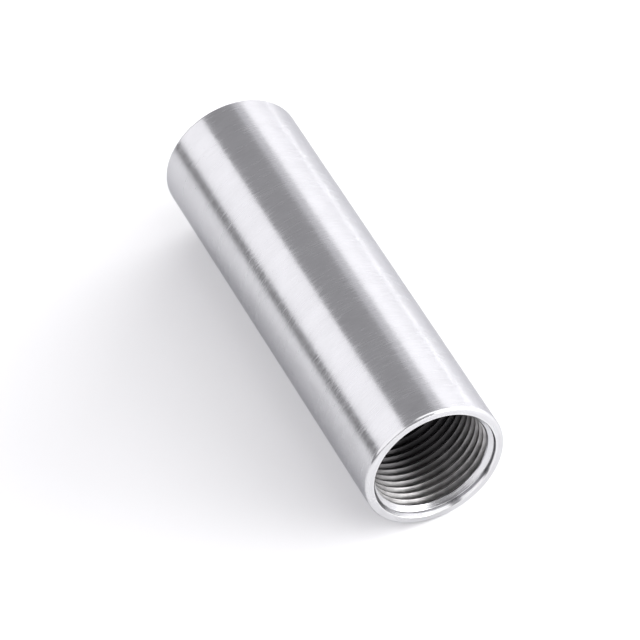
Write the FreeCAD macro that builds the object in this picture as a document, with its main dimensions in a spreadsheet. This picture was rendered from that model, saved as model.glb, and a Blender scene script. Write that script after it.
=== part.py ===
import FreeCAD, Part
import math
import os
import Sketcher

# Threaded coupling sleeve: one round steel sleeve, tapped from both ends with
# a parallel pipe thread (55 degree Whitworth form, 14 threads per inch) that
# joins two threaded tube ends or rods end to end.
#
# Row frame: the sleeve's axis is X, its middle is the origin, +Z is up.

doc = FreeCAD.newDocument("coupling_sleeve_model")

# ---------------------------------------------------------------- sizes, mm
sheet = doc.addObject("Spreadsheet::Sheet", "Sizes")
SIZES = [
    ("sleeve_length", "100", "overall length, end face to end face"),
    ("outer_diameter", "30", "ground outside of the sleeve"),
    ("edge_round", "0.75", "round on the two outer end edges"),
    ("middle_bore", "23.5", "plain hole through the middle"),
    ("thread_minor", "24.117", "G 3/4 minor diameter, the wall at the crests"),
    ("thread_major", "26.441", "G 3/4 major diameter, at the roots"),
    ("thread_pitch", "1.814", "14 threads per inch"),
    ("thread_flank", "27.5", "half of the Whitworth form's angle, degrees"),
    ("root_round", "0.249", "Whitworth root radius"),
    ("thread_depth", "30", "cut thread, from the end face"),
    ("drill_depth", "33", "minor-diameter hole, from the end face"),
    ("drill_slope", "45", "step to the middle bore, degrees to the axis"),
    ("sink_diameter", "26.5", "countersink at the end face"),
    ("sink_slope", "30", "countersink side, degrees to the axis"),
]
for i, (alias, value, note) in enumerate(SIZES, start=1):
    sheet.set("A%d" % i, alias)
    sheet.set("B%d" % i, value)
    sheet.set("C%d" % i, note)
    sheet.setAlias("B%d" % i, alias)

# worked out from the sizes above
DERIVED = [
    ("half_length", "=sleeve_length / 2", "end face from the middle"),
    ("outer_radius", "=outer_diameter / 2", ""),
    ("middle_radius", "=middle_bore / 2", ""),
    ("minor_radius", "=thread_minor / 2", ""),
    ("major_radius", "=thread_major / 2", ""),
    ("sink_radius", "=sink_diameter / 2", ""),
    ("sink_depth", "=(sink_radius - minor_radius) / tan(sink_slope * 1 deg)", "countersink, along the axis"),
    ("drill_end", "=half_length - drill_depth", "end of the minor-diameter hole"),
    ("step_length", "=(minor_radius - middle_radius) / tan(drill_slope * 1 deg)", ""),
    ("thread_end", "=half_length - thread_depth", "last groove's middle"),
    ("groove_width", "=thread_pitch * 5 / 6", "groove at the crests"),
    ("groove_half", "=groove_width / 2", ""),
    ("groove_inside", "=minor_radius - 0.35", "cutter's inner edge, in the open hole"),
    ("root_centre", "=major_radius - root_round", "centre of the root's arc"),
    ("crest_width", "=thread_pitch / 6", "flat left at each crest"),
    ("thread_run", "=thread_depth + thread_pitch * 1.5", "helix height: it starts outside the end face"),
]
row = len(SIZES) + 2
for alias, value, note in DERIVED:
    sheet.set("A%d" % row, alias)
    sheet.set("B%d" % row, value)
    sheet.set("C%d" % row, note)
    sheet.setAlias("B%d" % row, alias)
    row += 1
doc.recompute()


def cell(alias):
    return float(getattr(sheet, alias))


def role(body, name):
    for feature in body.Origin.OriginFeatures:
        if feature.Role == name:
            return feature
    raise RuntimeError("origin has no " + name)


def new_sketch(body, name, plane):
    sketch = body.newObject("Sketcher::SketchObject", name)
    sketch.AttachmentSupport = [(role(body, plane), "")]
    sketch.MapMode = "FlatFace"
    return sketch


def vec(x, y):
    return FreeCAD.Vector(x, y, 0)


def bind(sketch, constraint, alias):
    """Add a dimension to a sketch and tie it to a cell of the sheet."""
    index = sketch.addConstraint(constraint)
    sketch.renameConstraint(index, "size_%d" % index)
    sketch.setExpression("Constraints.size_%d" % index, "Sizes." + alias)
    return index


# ------------------------------------------------------------- the sleeve
body = doc.addObject("PartDesign::Body", "coupling_sleeve")
body.Label = "coupling_sleeve"
doc.recompute()

# the tube blank: a ring in the YZ plane, padded both ways along X
ring = new_sketch(body, "tube_ring", "YZ_Plane")
for alias in ("outer_radius", "middle_radius"):
    g = ring.addGeometry(Part.Circle(vec(0, 0), FreeCAD.Vector(0, 0, 1), cell(alias)), False)
    ring.addConstraint(Sketcher.Constraint("Coincident", g, 3, -1, 1))
    bind(ring, Sketcher.Constraint("Radius", g, cell(alias)), alias)

blank = body.newObject("PartDesign::Pad", "tube_blank")
blank.Profile = ring
blank.Midplane = True
blank.setExpression("Length", "Sizes.sleeve_length")
doc.recompute()

# rounds on the two outer end edges
outer_edges = []
for i, edge in enumerate(blank.Shape.Edges, start=1):
    if isinstance(edge.Curve, Part.Circle) and abs(edge.Curve.Radius - cell("outer_radius")) < 1e-6:
        outer_edges.append("Edge%d" % i)
if len(outer_edges) != 2:
    raise RuntimeError("expected two outer end edges")
rounds = body.newObject("PartDesign::Fillet", "end_rounds")
rounds.Base = (blank, outer_edges)
rounds.setExpression("Radius", "Sizes.edge_round")
doc.recompute()

# both mouths: countersink, minor-diameter hole and the step to the middle
# bore. One closed profile for each end, the -X one mirrored from the +X one,
# is turned a quarter round the sleeve's axis, and the quarter is repeated.
mouth = new_sketch(body, "mouth_profiles", "XY_Plane")
end, sink = cell("half_length"), cell("half_length") - cell("sink_depth")
deep, step = cell("drill_end"), cell("drill_end") - cell("step_length")
corners = [
    (step, 0),
    (end, 0),
    (end, cell("sink_radius")),
    (sink, cell("minor_radius")),
    (deep, cell("minor_radius")),
    (step, cell("middle_radius")),
]
for sign in (1, -1):
    for a, b in zip(corners, corners[1:] + corners[:1]):
        mouth.addGeometry(Part.LineSegment(vec(sign * a[0], a[1]), vec(sign * b[0], b[1])), False)
for first_line in (0, 6):
    for i in range(6):
        mouth.addConstraint(
            Sketcher.Constraint("Coincident", first_line + i, 2, first_line + (i + 1) % 6, 1)
        )
mouth.addConstraint(Sketcher.Constraint("PointOnObject", 0, 1, -1))
mouth.addConstraint(Sketcher.Constraint("PointOnObject", 0, 2, -1))
mouth.addConstraint(Sketcher.Constraint("Vertical", 1))
mouth.addConstraint(Sketcher.Constraint("Horizontal", 3))
mouth.addConstraint(Sketcher.Constraint("Vertical", 5))
bind(mouth, Sketcher.Constraint("DistanceX", -1, 1, 0, 2, end), "half_length")
bind(mouth, Sketcher.Constraint("DistanceY", 1, 1, 1, 2, cell("sink_radius")), "sink_radius")
bind(mouth, Sketcher.Constraint("DistanceX", 2, 2, 2, 1, cell("sink_depth")), "sink_depth")
bind(mouth, Sketcher.Constraint("DistanceY", -1, 1, 3, 1, cell("minor_radius")), "minor_radius")
bind(mouth, Sketcher.Constraint("DistanceX", -1, 1, 3, 2, deep), "drill_end")
bind(mouth, Sketcher.Constraint("DistanceX", 4, 2, 4, 1, cell("step_length")), "step_length")
bind(mouth, Sketcher.Constraint("DistanceY", -1, 1, 4, 2, cell("middle_radius")), "middle_radius")
for i in range(6):
    mouth.addConstraint(Sketcher.Constraint("Symmetric", i, 1, 6 + i, 1, -2))

quarter = body.newObject("PartDesign::Groove", "mouth_quarters")
quarter.Profile = mouth
quarter.ReferenceAxis = (role(body, "X_Axis"), [""])
quarter.Angle = 90
quarter.Refine = False
doc.recompute()

mouth_cut = body.newObject("PartDesign::PolarPattern", "both_mouths")
mouth_cut.Originals = [quarter]
mouth_cut.Axis = (role(body, "X_Axis"), [""])
mouth_cut.Angle = 360
mouth_cut.Occurrences = 4
mouth_cut.Refine = False
body.Tip = mouth_cut
doc.recompute()

# the thread groove: 55 degree flanks and a rounded root. Its inner edge
# stands inside the hole, where it has straight sides, so that neighbouring
# turns stay apart by the crest's flat.
groove = new_sketch(body, "thread_groove", "XY_Plane")
alpha = math.radians(cell("thread_flank"))
r_root, half = cell("root_round"), cell("groove_half")
r_minor, r_major = cell("minor_radius"), cell("major_radius")
x0 = cell("thread_end")
clear = cell("minor_radius") - cell("groove_inside")
# the root arc's centre, and where it touches the flanks
cy = r_major - r_root
tx, ty = r_root * math.cos(alpha), cy + r_root * math.sin(alpha)
pts = [
    vec(x0 - half, r_minor - clear),
    vec(x0 + half, r_minor - clear),
    vec(x0 + half, r_minor),
    vec(x0 + tx, ty),
    vec(x0 - tx, ty),
    vec(x0 - half, r_minor),
]
groove.addGeometry(Part.LineSegment(pts[0], pts[1]), False)
groove.addGeometry(Part.LineSegment(pts[1], pts[2]), False)
groove.addGeometry(Part.LineSegment(pts[2], pts[3]), False)
groove.addGeometry(Part.Arc(pts[3], vec(x0, r_major), pts[4]), False)
groove.addGeometry(Part.LineSegment(pts[4], pts[5]), False)
groove.addGeometry(Part.LineSegment(pts[5], pts[0]), False)
# the arc runs from pts[3] to pts[4]; its start and end are told apart here
arc = groove.Geometry[3]
first, last = (1, 2) if arc.StartPoint.distanceToPoint(pts[3]) < 1e-6 else (2, 1)
groove.addConstraint(Sketcher.Constraint("Coincident", 0, 2, 1, 1))
groove.addConstraint(Sketcher.Constraint("Coincident", 1, 2, 2, 1))
groove.addConstraint(Sketcher.Constraint("Tangent", 2, 2, 3, first))
groove.addConstraint(Sketcher.Constraint("Tangent", 3, last, 4, 1))
groove.addConstraint(Sketcher.Constraint("Coincident", 4, 2, 5, 1))
groove.addConstraint(Sketcher.Constraint("Coincident", 5, 2, 0, 1))
groove.addConstraint(Sketcher.Constraint("Horizontal", 0))
groove.addConstraint(Sketcher.Constraint("Vertical", 1))
groove.addConstraint(Sketcher.Constraint("Vertical", 5))
bind(groove, Sketcher.Constraint("Radius", 3, r_root), "root_round")
bind(groove, Sketcher.Constraint("DistanceX", -1, 1, 3, 3, x0), "thread_end")
bind(groove, Sketcher.Constraint("DistanceY", -1, 1, 3, 3, cy), "root_centre")
bind(groove, Sketcher.Constraint("DistanceX", 5, 1, 2, 1, 2 * half), "groove_width")
bind(groove, Sketcher.Constraint("DistanceY", -1, 1, 2, 1, r_minor), "minor_radius")
bind(groove, Sketcher.Constraint("DistanceY", -1, 1, 5, 1, r_minor), "minor_radius")
bind(groove, Sketcher.Constraint("DistanceY", -1, 1, 0, 1, r_minor - clear), "groove_inside")
bind(groove, Sketcher.Constraint("DistanceX", 3, 3, 2, 1, half), "groove_half")
doc.recompute()

thread = body.newObject("PartDesign::SubtractiveHelix", "thread_cut")
thread.Refine = False
thread.Profile = groove
thread.ReferenceAxis = (role(body, "X_Axis"), [""])
thread.Mode = 0
thread.setExpression("Pitch", "Sizes.thread_pitch")
thread.setExpression("Height", "Sizes.thread_run")
thread.Angle = 0
thread.Growth = 0
thread.LeftHanded = False
thread.Reversed = False
doc.recompute()

# the -X thread is the +X thread turned half a turn about Z, which keeps both
# right-handed
threads = body.newObject("PartDesign::PolarPattern", "both_threads")
threads.Originals = [thread]
threads.Axis = (role(body, "Z_Axis"), [""])
threads.Angle = 360
threads.Occurrences = 2
threads.Refine = False
body.Tip = threads
doc.recompute()

body.Placement = FreeCAD.Placement(FreeCAD.Vector(0, 0, 0), FreeCAD.Rotation(0, 0, 0))
doc.recompute()

# ------------------------------------------------------------------ checks
for obj in doc.Objects:
    if "Invalid" in obj.State or "Error" in obj.State:
        raise RuntimeError("%s failed: %s" % (obj.Label, obj.State))
for sketch in (ring, mouth, groove):
    print(sketch.Label, "fully constrained:", sketch.FullyConstrained)
for feature in (blank, rounds, quarter, mouth_cut, thread, threads):
    shape = feature.Shape
    if shape.isNull() or not shape.isValid():
        raise RuntimeError(feature.Label + " has no valid shape")
    print("%-14s volume %.2f faces %d" % (feature.Label, shape.Volume, len(shape.Faces)))

# what the cuts should take off, from their profiles. The mouths:
r_mid, r_sink = cell("middle_radius"), cell("sink_radius")
mouth_volume = 2 * math.pi * (
    (r_sink**2 + r_sink * r_minor + r_minor**2) / 3 * (end - sink)
    + r_minor**2 * (sink - deep)
    + (r_minor**2 + r_minor * r_mid + r_mid**2) / 3 * (deep - step)
    - r_mid**2 * (end - step)
)
taken = rounds.Shape.Volume - mouth_cut.Shape.Volume
print("mouths take off %.2f, expected %.2f" % (taken, mouth_volume))
if abs(taken - mouth_volume) > 0.5:
    raise RuntimeError("the mouths aren't cut as drawn")
# the threads: the groove's section times the helix's length, less the turn or
# so that runs in the countersink
section = (
    half**2 / math.tan(alpha)
    - r_root**2 * (1 / math.tan(alpha) - (math.pi / 2 - alpha))
)
turns = (cell("thread_depth") - cell("sink_depth")) / cell("thread_pitch")
low = 2 * section * turns * 2 * math.pi * (r_minor + 0.3)
high = 2 * section * (turns + 1.2) * 2 * math.pi * (r_minor + 0.7)
taken = mouth_cut.Shape.Volume - threads.Shape.Volume
print("threads take off %.2f, expected %.2f to %.2f" % (taken, low, high))
if not low < taken < high:
    raise RuntimeError("the threads aren't cut as drawn")
if len(body.Shape.Solids) != 1:
    raise RuntimeError("the sleeve is %d solids" % len(body.Shape.Solids))

# ------------------------------------------------------------------- files
os.makedirs("parts", exist_ok=True)
for node in (body,):
    shape = node.Shape
    if shape.isNull() or not shape.isValid():
        raise RuntimeError(node.Label + " has no valid shape")
    shape.exportStep("parts/" + node.Label + ".step")
    box = shape.BoundBox
    print("%s: %.2f x %.2f x %.2f mm, %.1f mm3" % (node.Label, box.XLength, box.YLength, box.ZLength, shape.Volume))
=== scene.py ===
import math

import bpy
import numpy as np
from mathutils import Matrix, Vector


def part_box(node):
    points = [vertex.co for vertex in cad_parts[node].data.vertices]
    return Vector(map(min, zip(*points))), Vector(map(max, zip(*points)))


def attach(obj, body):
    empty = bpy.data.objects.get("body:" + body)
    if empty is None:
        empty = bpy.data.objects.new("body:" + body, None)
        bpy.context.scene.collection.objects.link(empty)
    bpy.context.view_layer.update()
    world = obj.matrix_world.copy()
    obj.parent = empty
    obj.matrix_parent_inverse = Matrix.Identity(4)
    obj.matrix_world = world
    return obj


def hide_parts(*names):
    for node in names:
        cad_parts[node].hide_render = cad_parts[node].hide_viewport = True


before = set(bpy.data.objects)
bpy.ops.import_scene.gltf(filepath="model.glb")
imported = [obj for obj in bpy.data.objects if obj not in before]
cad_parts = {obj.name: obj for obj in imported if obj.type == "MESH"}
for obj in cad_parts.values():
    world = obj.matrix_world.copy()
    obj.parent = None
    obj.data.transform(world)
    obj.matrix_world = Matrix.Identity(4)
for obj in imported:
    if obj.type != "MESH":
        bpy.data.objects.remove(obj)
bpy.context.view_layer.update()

LOW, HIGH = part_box("coupling_sleeve")

# ------------------------------------------------------------------ sizes, m
# The ends and the outside come from the CAD part's own box. The thread's
# sizes are the part's: a G 3/4 parallel pipe thread.
MM = 0.001
HALF = (HIGH.x - LOW.x) / 2
R_OUT = round((HIGH.z - LOW.z) / 2 / MM, 1) * MM
EDGE = 0.75 * MM
R_SINK = 13.25 * MM
R_MINOR = 12.0585 * MM
R_MAJOR = 13.2205 * MM
PITCH = 1.814 * MM
R_ROOT = 0.249 * MM
R_MIDDLE = 11.75 * MM
DRILL = 33.0 * MM
FLANK = math.radians(27.5)
SINK = math.radians(30)
COLUMNS = 168


# ------------------------------------------------------------ thread profile
def thread_profile():
    """One pitch of the thread, as (phase, radius) from crest to crest. The
    crest's two corners have a small round, as a tap leaves them."""
    half = PITCH * 5 / 12
    corner = 0.05 * MM
    run = corner * math.tan(math.radians(62.5 / 2))
    side = []
    # crest, its corner's round, the flank and the root's arc, to the middle
    side.append((PITCH / 2, R_MINOR))
    side.append((half + run, R_MINOR))
    side.append((half + 0.12 * run, R_MINOR + 0.30 * run))
    side.append((half - run * math.sin(FLANK), R_MINOR + run * math.cos(FLANK)))
    centre = R_MAJOR - R_ROOT
    touch = (R_ROOT * math.cos(FLANK), centre + R_ROOT * math.sin(FLANK))
    side.append(touch)
    for deg in (48, 69):
        a = math.radians(deg)
        side.append((R_ROOT * math.cos(a), centre + R_ROOT * math.sin(a)))
    line = [(-u, r) for u, r in side] + [(0.0, R_MAJOR)]
    line += [(u, r) for u, r in reversed(side[1:])]
    return [((u + PITCH / 2) / PITCH, r) for u, r in line]


PROFILE = thread_profile()
PER_PITCH = len(PROFILE)


def smooth(t):
    t = min(max(t, 0.0), 1.0)
    return t * t * (3 - 2 * t)


def plain_radius(s):
    """The hole before it is tapped, s from the end face."""
    return max(R_SINK - s * math.tan(SINK), R_MINOR)


# ------------------------------------------------------------- sleeve's mesh
class Builder:
    def __init__(self):
        self.verts, self.faces, self.inner = [], [], []

    def add(self, x, r, angle, inner):
        self.verts.append((x, r * math.cos(angle), r * math.sin(angle)))
        self.inner.append(inner)
        return len(self.verts) - 1

    def ring(self, s, r, end, inner):
        """A whole ring of points at s from an end face. end is +1 or -1; the
        -X end is the +X end turned half a turn about Z."""
        out = [0] * COLUMNS
        for i in range(COLUMNS):
            a = 2 * math.pi * i / COLUMNS
            j = i
            if end < 0:
                a, j = math.pi - a, (COLUMNS // 2 - i) % COLUMNS
            out[j] = self.add(end * (HALF - s), r, a, inner)
        return out

    def band(self, a, b, end=1):
        """Quads between two whole rings. The section is walked along the
        outside towards +X, in at the +X mouth and back through the hole."""
        if end < 0:
            a, b = b, a
        for j in range(COLUMNS):
            k = (j + 1) % COLUMNS
            self.faces.append((a[j], a[k], b[k], b[j]))


def fillet_rows():
    rows = []
    for t in np.linspace(0, 1, 10):
        a = math.pi / 2 * t
        rows.append((EDGE - EDGE * math.sin(a), R_OUT - EDGE + EDGE * math.cos(a)))
    return rows


def thread_columns(builder, end, s_start, s_stop):
    """The threaded wall between two plain rings. Its rows follow the helix,
    so every crest, flank and root keeps a clean line; a row ends where it
    would come too near to a plain ring. Returns the first and last ring."""
    full, fade = 26.2 * MM, 3.1 * PITCH
    step = PITCH / PER_PITCH
    columns = []
    for i in range(COLUMNS + 1):
        turn = i / COLUMNS
        a = 2 * math.pi * turn
        points = []
        first = int(math.floor((s_start / PITCH) + turn)) - 1
        last = int(math.ceil((s_stop / PITCH) + turn)) + 1
        for n in range(first, last + 1):
            for k, (phase, r) in enumerate(PROFILE):
                s = (n + phase - turn) * PITCH
                if s < s_start + 0.55 * step or s > s_stop - 0.55 * step:
                    continue
                cut = r - (R_MAJOR - R_MINOR) * 1.05 * smooth((s - full) / fade) - max(0.0, s - full) * 0.02
                points.append((n * PER_PITCH + k, s, max(cut, plain_radius(s))))
        columns.append((a, points))
    made = []
    for i in range(COLUMNS):
        a, points = columns[i]
        if end < 0:
            a = math.pi - a
        made.append({key: builder.add(end * (HALF - s), r, a, 1.0) for key, s, r in points})
    # the seam: after a whole turn the row's number is one pitch higher
    made.append({key: made[0][key - PER_PITCH] for key, _, _ in columns[COLUMNS][1]})
    mouth = builder.ring(s_start, plain_radius(s_start), end, 1.0)
    deep = builder.ring(s_stop, plain_radius(s_stop), end, 1.0)

    def at(ring, i):
        i %= COLUMNS
        return ring[i] if end > 0 else ring[(COLUMNS // 2 - i) % COLUMNS]

    for i in range(COLUMNS):
        left, right = made[i], made[i + 1]
        shared = sorted(set(left) & set(right))
        lo, hi = shared[0], shared[-1]
        for key in shared[:-1]:
            builder.faces.append((left[key], right[key], right[key + 1], left[key + 1]))
        # towards the mouth, one column may have a row more than the other
        for ring, keyed, sign in ((mouth, lo, -1), (deep, hi, 1)):
            poly = [at(ring, i)]
            extra_left = [k for k in left if (k - keyed) * sign > 0]
            extra_right = [k for k in right if (k - keyed) * sign > 0]
            poly += [left[k] for k in sorted(extra_left, key=lambda k: -sign * k)]
            poly += [left[keyed], right[keyed]]
            poly += [right[k] for k in sorted(extra_right, key=lambda k: sign * k)]
            poly.append(at(ring, i + 1))
            if sign < 0:
                poly.reverse()
            builder.faces.append(tuple(poly))
    return mouth, deep


def build_end(builder, end):
    rows = [(s, r, 0.0) for s, r in fillet_rows()]
    for r in (14.0, 13.7, 13.45):
        rows.append((0.0, r * MM, 0.0))
    # the small break between the end face and the countersink
    for s, r in ((0.0, 13.31), (0.006, 13.278), (0.022, 13.252), (0.048, 13.2225)):
        rows.append((s * MM, r * MM, 0.35))
    rings = [builder.ring(s, r, end, inner) for s, r, inner in rows]
    for a, b in zip(rings, rings[1:]):
        builder.band(a, b, end)
    mouth, deep = thread_columns(builder, end, 0.085 * MM, 31.6 * MM)
    builder.band(rings[-1], mouth, end)
    last = deep
    for s, r in ((32.3, 12.0585), (32.97, 12.0585), (33.03, 12.03), (33.28, 11.78), (33.34, 11.75), (33.6, 11.75)):
        ring = builder.ring(s * MM, r * MM, end, 1.0)
        builder.band(last, ring, end)
        last = ring
    return rings[0], last


def build_sleeve():
    b = Builder()
    out_a, in_a = build_end(b, 1)
    out_b, in_b = build_end(b, -1)
    # the outside, from one end round to the other
    last = out_b
    length = HALF - EDGE
    for t in np.linspace(-1, 1, 29)[1:-1]:
        ring = b.ring(HALF - t * length, R_OUT, 1, 0.0)
        b.band(last, ring)
        last = ring
    b.band(last, out_a)
    # the plain middle of the hole
    last = in_a
    length = HALF - 33.6 * MM
    for t in np.linspace(1, -1, 13)[1:-1]:
        ring = b.ring(HALF - t * length, R_MIDDLE, 1, 1.0)
        b.band(last, ring)
        last = ring
    b.band(last, in_b)
    mesh = bpy.data.meshes.new("coupling_sleeve_skin")
    mesh.from_pydata(b.verts, [], b.faces)
    mesh.validate()
    return mesh, b


def set_normals(mesh, sharp=math.radians(50)):
    """Smooth shading whose normals follow the larger faces, so the flat
    walls stay straight up to their rounded corners."""
    n = len(mesh.vertices)
    co = np.empty(n * 3)
    mesh.vertices.foreach_get("co", co)
    co = co.reshape(-1, 3)
    total = np.zeros((n, 3))
    count = len(mesh.polygons)
    normal, area = np.empty(count * 3), np.empty(count)
    mesh.polygons.foreach_get("normal", normal)
    mesh.polygons.foreach_get("area", area)
    normal = normal.reshape(-1, 3) * area[:, None]
    starts, sizes = np.empty(count, int), np.empty(count, int)
    mesh.polygons.foreach_get("loop_start", starts)
    mesh.polygons.foreach_get("loop_total", sizes)
    corner = np.empty(len(mesh.loops), int)
    mesh.loops.foreach_get("vertex_index", corner)
    face_of = np.repeat(np.arange(count), sizes)
    np.add.at(total, corner, normal[face_of])
    total /= np.linalg.norm(total, axis=1)[:, None]
    mesh.shade_smooth()
    mesh.normals_split_custom_set_from_vertices(total.tolist())


# ---------------------------------------------------------------- materials
def node(tree, kind, at=(0, 0), **sockets):
    made = tree.nodes.new(kind)
    made.location = at
    for name, value in sockets.items():
        if hasattr(made, name):
            setattr(made, name, value)
        else:
            made.inputs[name.replace("_", " ")].default_value = value
    return made


def math_node(tree, op, a, b=None, c=None, clamp=False):
    made = tree.nodes.new("ShaderNodeMath")
    made.operation = op
    made.use_clamp = clamp
    for i, v in enumerate((a, b, c)):
        if v is None:
            continue
        if isinstance(v, (int, float)):
            made.inputs[i].default_value = v
        else:
            tree.links.new(v, made.inputs[i])
    return made.outputs[0]


def map_range(tree, value, lo, hi, to_lo, to_hi):
    made = tree.nodes.new("ShaderNodeMapRange")
    tree.links.new(value, made.inputs["Value"])
    for name, v in (("From Min", lo), ("From Max", hi), ("To Min", to_lo), ("To Max", to_hi)):
        made.inputs[name].default_value = v
    return made.outputs["Result"]


def turned(tree, parts, along, around, detail, rough=0.5, seed=0.0):
    """Noise drawn out round the sleeve's axis, as a grinding wheel or a
    turning tool marks it: 'along' cycles a metre across the marks (along the
    axis, or along the radius on an end face), 'around' a metre along them."""
    x, y, z, radius = parts
    combine = tree.nodes.new("ShaderNodeCombineXYZ")
    tree.links.new(math_node(tree, "MULTIPLY_ADD", x, along, seed), combine.inputs[0])
    tree.links.new(math_node(tree, "MULTIPLY", radius, along), combine.inputs[1])
    tree.links.new(math_node(tree, "MULTIPLY", y, around), combine.inputs[2])
    noise = tree.nodes.new("ShaderNodeTexNoise")
    noise.noise_dimensions = "4D"
    noise.inputs["Scale"].default_value = 1.0
    noise.inputs["Detail"].default_value = detail
    noise.inputs["Roughness"].default_value = rough
    tree.links.new(combine.outputs[0], noise.inputs["Vector"])
    tree.links.new(math_node(tree, "MULTIPLY", z, around), noise.inputs["W"])
    return noise.outputs["Fac"]


def mix(tree, factor, a, b):
    made = tree.nodes.new("ShaderNodeMix")
    made.data_type = "RGBA"
    tree.links.new(factor, made.inputs["Factor"])
    for name, v in (("A", a), ("B", b)):
        socket = [i for i in made.inputs if i.name == name and i.type == "RGBA"][0]
        if isinstance(v, tuple):
            socket.default_value = (*v, 1)
        else:
            tree.links.new(v, socket)
    return [o for o in made.outputs if o.type == "RGBA"][0]


def steel_material():
    m = bpy.data.materials.new("ground_steel")
    m.use_nodes = True
    tree = m.node_tree
    tree.nodes.clear()
    out = tree.nodes.new("ShaderNodeOutputMaterial")
    bsdf = tree.nodes.new("ShaderNodeBsdfPrincipled")
    tree.links.new(bsdf.outputs[0], out.inputs[0])
    bsdf.inputs["Metallic"].default_value = 1.0
    bsdf.inputs["Specular Tint"].default_value = (0.60, 0.60, 0.62, 1)
    bsdf.inputs["Anisotropic"].default_value = 0.55
    bsdf.inputs["Anisotropic Rotation"].default_value = 0.25
    tangent = tree.nodes.new("ShaderNodeTangent")
    tangent.direction_type = "RADIAL"
    tangent.axis = "X"
    tree.links.new(tangent.outputs[0], bsdf.inputs["Tangent"])

    coord = tree.nodes.new("ShaderNodeTexCoord").outputs["Object"]
    split = tree.nodes.new("ShaderNodeSeparateXYZ")
    tree.links.new(coord, split.inputs[0])
    x, y, z = split.outputs
    radius = math_node(
        tree, "SQRT", math_node(tree, "MULTIPLY_ADD", y, y, math_node(tree, "MULTIPLY", z, z))
    )
    parts = (x, y, z, radius)
    inner = tree.nodes.new("ShaderNodeAttribute")
    inner.attribute_name = "in_hole"
    inner = inner.outputs["Fac"]
    # painted shade: how far down the hole a point lies, which darkens the hole's colour
    deep = tree.nodes.new("ShaderNodeAttribute")
    deep.attribute_name = "painted_depth_shade"
    deep = deep.outputs["Fac"]
    edge = tree.nodes.new("ShaderNodeAttribute")
    edge.attribute_name = "edge_wear"
    edge = edge.outputs["Fac"]

    fine = turned(tree, parts, 9000, 420, 2, 0.6)
    broad = turned(tree, parts, 3400, 330, 2, 0.55, seed=3.7)
    bands = turned(tree, parts, 700, 9, 3, 0.6, seed=9.1)
    mottle = turned(tree, parts, 900, 300, 2, 0.6, seed=5.3)
    cloud = tree.nodes.new("ShaderNodeTexNoise")
    cloud.inputs["Scale"].default_value = 140
    cloud.inputs["Detail"].default_value = 4
    tree.links.new(coord, cloud.inputs["Vector"])
    cloud = cloud.outputs["Fac"]

    # colour: steel, warmer and stained in the hole, with painted shade that darkens
    # it down the hole and in its grooves; brighter on edges
    tone = math_node(
        tree,
        "ADD",
        math_node(tree, "MULTIPLY", map_range(tree, broad, 0.3, 0.7, 0, 1), 0.6),
        math_node(tree, "MULTIPLY", map_range(tree, cloud, 0.3, 0.7, 0, 1), 0.4),
    )
    ground = mix(tree, tone, (0.560, 0.560, 0.572), (0.640, 0.640, 0.655))
    blot = tree.nodes.new("ShaderNodeTexNoise")
    blot.inputs["Scale"].default_value = 520
    blot.inputs["Detail"].default_value = 3
    tree.links.new(coord, blot.inputs["Vector"])
    blot = map_range(tree, blot.outputs["Fac"], 0.32, 0.68, 0, 1)
    stain = math_node(tree, "MULTIPLY_ADD", tone, 0.4, math_node(tree, "MULTIPLY", blot, 0.6))
    hole = mix(tree, stain, (0.300, 0.294, 0.292), (0.600, 0.589, 0.585))
    # painted shade: the thread's grooves darken towards their roots
    painted_groove_shade = map_range(tree, radius, R_MINOR + 0.08 * MM, R_MAJOR, 0, 0.4)
    hole = mix(tree, painted_groove_shade, hole, (0.150, 0.147, 0.147))
    # painted shade: darker deep in the hole
    hole = mix(tree, deep, hole, (0.095, 0.092, 0.095))
    colour = mix(tree, inner, ground, hole)
    colour = mix(tree, edge, colour, (0.76, 0.76, 0.76))
    tree.links.new(colour, bsdf.inputs["Base Color"])

    # roughness: marks of the wheel, duller in the hole, cleaner where edges are rubbed
    rough = math_node(
        tree,
        "ADD",
        map_range(tree, broad, 0.25, 0.75, 0.17, 0.30),
        map_range(tree, bands, 0.3, 0.7, -0.03, 0.03),
    )
    rough = math_node(tree, "MULTIPLY_ADD", inner, 0.15, rough)
    rough = math_node(tree, "SUBTRACT", rough, math_node(tree, "MULTIPLY", edge, 0.06))
    tree.links.new(rough, bsdf.inputs["Roughness"])

    # relief: short fine marks over longer ones, a few micrometres deep
    height = math_node(tree, "MULTIPLY", fine, 0.08)
    height = math_node(tree, "MULTIPLY_ADD", broad, 0.28, height)
    height = math_node(tree, "MULTIPLY_ADD", bands, 0.05, height)
    height = math_node(tree, "MULTIPLY_ADD", mottle, 0.25, height)
    bump = tree.nodes.new("ShaderNodeBump")
    bump.inputs["Strength"].default_value = 1.0
    bump.inputs["Distance"].default_value = 0.00006
    tree.links.new(height, bump.inputs["Height"])
    tree.links.new(bump.outputs[0], bsdf.inputs["Normal"])
    return m


def floor_material():
    m = bpy.data.materials.new("pale_floor")
    m.use_nodes = True
    tree = m.node_tree
    bsdf = tree.nodes["Principled BSDF"]
    bsdf.inputs["Roughness"].default_value = 0.75
    bsdf.inputs["Specular IOR Level"].default_value = 0.15
    noise = tree.nodes.new("ShaderNodeTexNoise")
    noise.inputs["Scale"].default_value = 9
    noise.inputs["Detail"].default_value = 3
    coord = tree.nodes.new("ShaderNodeTexCoord")
    tree.links.new(coord.outputs["Object"], noise.inputs["Vector"])
    tree.links.new(
        mix(tree, noise.outputs["Fac"], (0.86, 0.86, 0.865), (0.90, 0.90, 0.90)),
        bsdf.inputs["Base Color"],
    )
    return m


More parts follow.
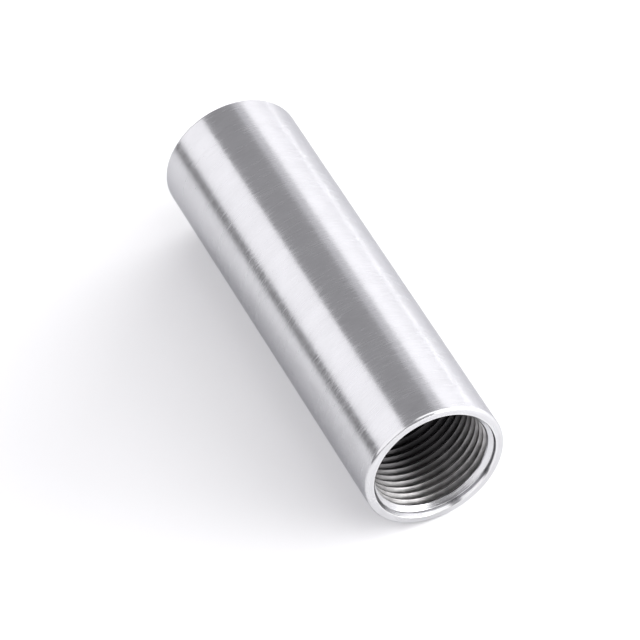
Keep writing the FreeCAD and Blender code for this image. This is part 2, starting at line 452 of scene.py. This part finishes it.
# -------------------------------------------------------------- the sleeve
mesh, made = build_sleeve()
attribute = mesh.attributes.new("in_hole", "FLOAT", "POINT")
points = np.array(made.verts)
s_end = HALF - np.abs(points[:, 0])
r_all = np.hypot(points[:, 1], points[:, 2])
inner = np.array(made.inner) * np.clip((s_end / MM - 2.0) / 1.2, 0, 1)
attribute.data.foreach_set("value", inner.astype(np.float32))
# painted shade: 0 up to 3 mm in from an end face, 1 from 17 mm, on the hole's wall only
attribute = mesh.attributes.new("painted_depth_shade", "FLOAT", "POINT")
painted_depth_shade = np.clip((s_end / MM - 3.0) / 14.0, 0, 1)
painted_depth_shade = painted_depth_shade * painted_depth_shade * (3 - 2 * painted_depth_shade) * np.array(made.inner)
attribute.data.foreach_set("value", painted_depth_shade.astype(np.float32))
outer_edge = np.exp(-(((s_end - 0.2 * MM) / (0.35 * MM)) ** 2) - (((r_all - (R_OUT - 0.25 * MM)) / (0.4 * MM)) ** 2))
sink_edge = np.exp(-(((s_end) / (0.12 * MM)) ** 2) - (((r_all - R_SINK) / (0.15 * MM)) ** 2))
wear = np.clip(outer_edge * 0.3 + sink_edge * 0.9, 0, 1)
attribute = mesh.attributes.new("edge_wear", "FLOAT", "POINT")
attribute.data.foreach_set("value", wear.astype(np.float32))
set_normals(mesh)

sleeve = bpy.data.objects.new("coupling_sleeve_skin", mesh)
bpy.context.scene.collection.objects.link(sleeve)
steel = steel_material()
mesh.materials.append(steel)
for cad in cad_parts.values():
    cad.data.materials.clear()
    cad.data.materials.append(steel)
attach(sleeve, "root")
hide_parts("coupling_sleeve")

# ------------------------------------------------------------------- stage
FLOOR_Z = -R_OUT
floor_mesh = bpy.data.meshes.new("floor")
side = 3.0
floor_mesh.from_pydata(
    [(-side, -side, FLOOR_Z), (side, -side, FLOOR_Z), (side, side, FLOOR_Z), (-side, side, FLOOR_Z)],
    [],
    [(0, 1, 2, 3)],
)
floor = bpy.data.objects.new("floor", floor_mesh)
bpy.context.scene.collection.objects.link(floor)
floor_mesh.materials.append(floor_material())

# ------------------------------------------------------------------ camera
# The direction in which the camera looks at the sleeve, and its place.
camera_data = bpy.data.cameras.new("camera")
camera = bpy.data.objects.new("camera", camera_data)
bpy.context.scene.collection.objects.link(camera)
bpy.context.scene.camera = camera
camera_data.lens = 290.438
camera_data.sensor_width = 36
camera_data.clip_start = 0.02
camera_data.clip_end = 20
place = Vector((0.690003, -0.229761, 0.750391))
forward = Vector((-0.6594757, 0.2171067, -0.7196915)).normalized()
right = Vector((0.4108462, 0.9058441, -0.1032080))
right = (right - forward * right.dot(forward)).normalized()
up = right.cross(forward)
turn = Matrix((right, up, -forward)).transposed()
camera.matrix_world = Matrix.Translation(place) @ turn.to_4x4()

# ------------------------------------------------------------------ lights
# Two long softboxes stand on either side of the sleeve, with a dark gap over
# it. Directions are angles round the sleeve's axis, from the one that faces
# the camera; each light faces the sleeve.
ahead = Vector((0, -forward.y, -forward.z)).normalized()
aside = ahead.cross(Vector((1, 0, 0))).normalized()


def softbox(name, start_deg, stop_deg, distance, x0, x1, radiance, colour=(1, 1, 1), glossy=True):
    mid, half = math.radians((start_deg + stop_deg) / 2), math.radians((stop_deg - start_deg) / 2)
    direction = ahead * math.cos(mid) + aside * math.sin(mid)
    data = bpy.data.lights.new(name, "AREA")
    data.shape = "RECTANGLE"
    data.size = x1 - x0
    data.size_y = 2 * distance * math.tan(half)
    data.color = colour
    data.energy = radiance * math.pi * data.size * data.size_y
    light = bpy.data.objects.new(name, data)
    bpy.context.scene.collection.objects.link(light)
    z_axis = direction  # an area light shines along its own -Z
    x_axis = Vector((1, 0, 0))
    y_axis = z_axis.cross(x_axis)
    light.matrix_world = (
        Matrix.Translation(direction * distance + Vector(((x0 + x1) / 2, 0, 0)))
        @ Matrix((x_axis, y_axis, z_axis)).transposed().to_4x4()
    )
    light.visible_camera = False
    light.visible_glossy = glossy
    return light


softbox("left_softbox", -58.5, -6.5, 0.6, -1.4, 1.4, 1.04, (1.0, 0.99, 1.015))
softbox("right_softbox", 61, 109, 0.6, -1.4, 1.4, 1.24, (1.0, 0.99, 1.015))
softbox("right_edge", 46, 61, 0.6, -1.4, 1.4, 0.36, (0.99, 0.98, 1.03))
softbox("front_top", 14, 60, 0.6, 0.04, 0.6, 1.3)
softbox("floor_fill", 86, 104, 0.9, -1.0, 1.0, 13.0, (1, 1, 1), glossy=False)

# a card low at the front, on the right, which shines into the mouth
data = bpy.data.lights.new("front_right", "AREA")
data.shape = "RECTANGLE"
data.size, data.size_y = 0.40, 0.26
data.energy = 4.4 * math.pi * data.size * data.size_y
front_right = bpy.data.objects.new("front_right", data)
bpy.context.scene.collection.objects.link(front_right)
stand, aim = Vector((0.45, 0.36, 0.11)), Vector((0.04, -0.005, 0.0))
front_right.matrix_world = Matrix.Translation(stand) @ (stand - aim).to_track_quat("Z", "Y").to_matrix().to_4x4()
front_right.visible_camera = False

# the room: dim overhead, darker towards the horizon
world = bpy.data.worlds.new("studio")
bpy.context.scene.world = world
world.use_nodes = True
tree = world.node_tree
background = tree.nodes["Background"]
background.inputs["Color"].default_value = (0.975, 0.965, 1.0, 1)
split = tree.nodes.new("ShaderNodeSeparateXYZ")
tree.links.new(tree.nodes.new("ShaderNodeTexCoord").outputs["Generated"], split.inputs[0])
tree.links.new(map_range(tree, split.outputs[2], 0.0, 0.35, 0.20, 0.44), background.inputs["Strength"])

bpy.context.scene.view_settings.view_transform = "Standard"
bpy.context.scene.view_settings.look = "None"
bpy.context.scene.view_settings.exposure = 0
bpy.context.scene.view_settings.gamma = 1
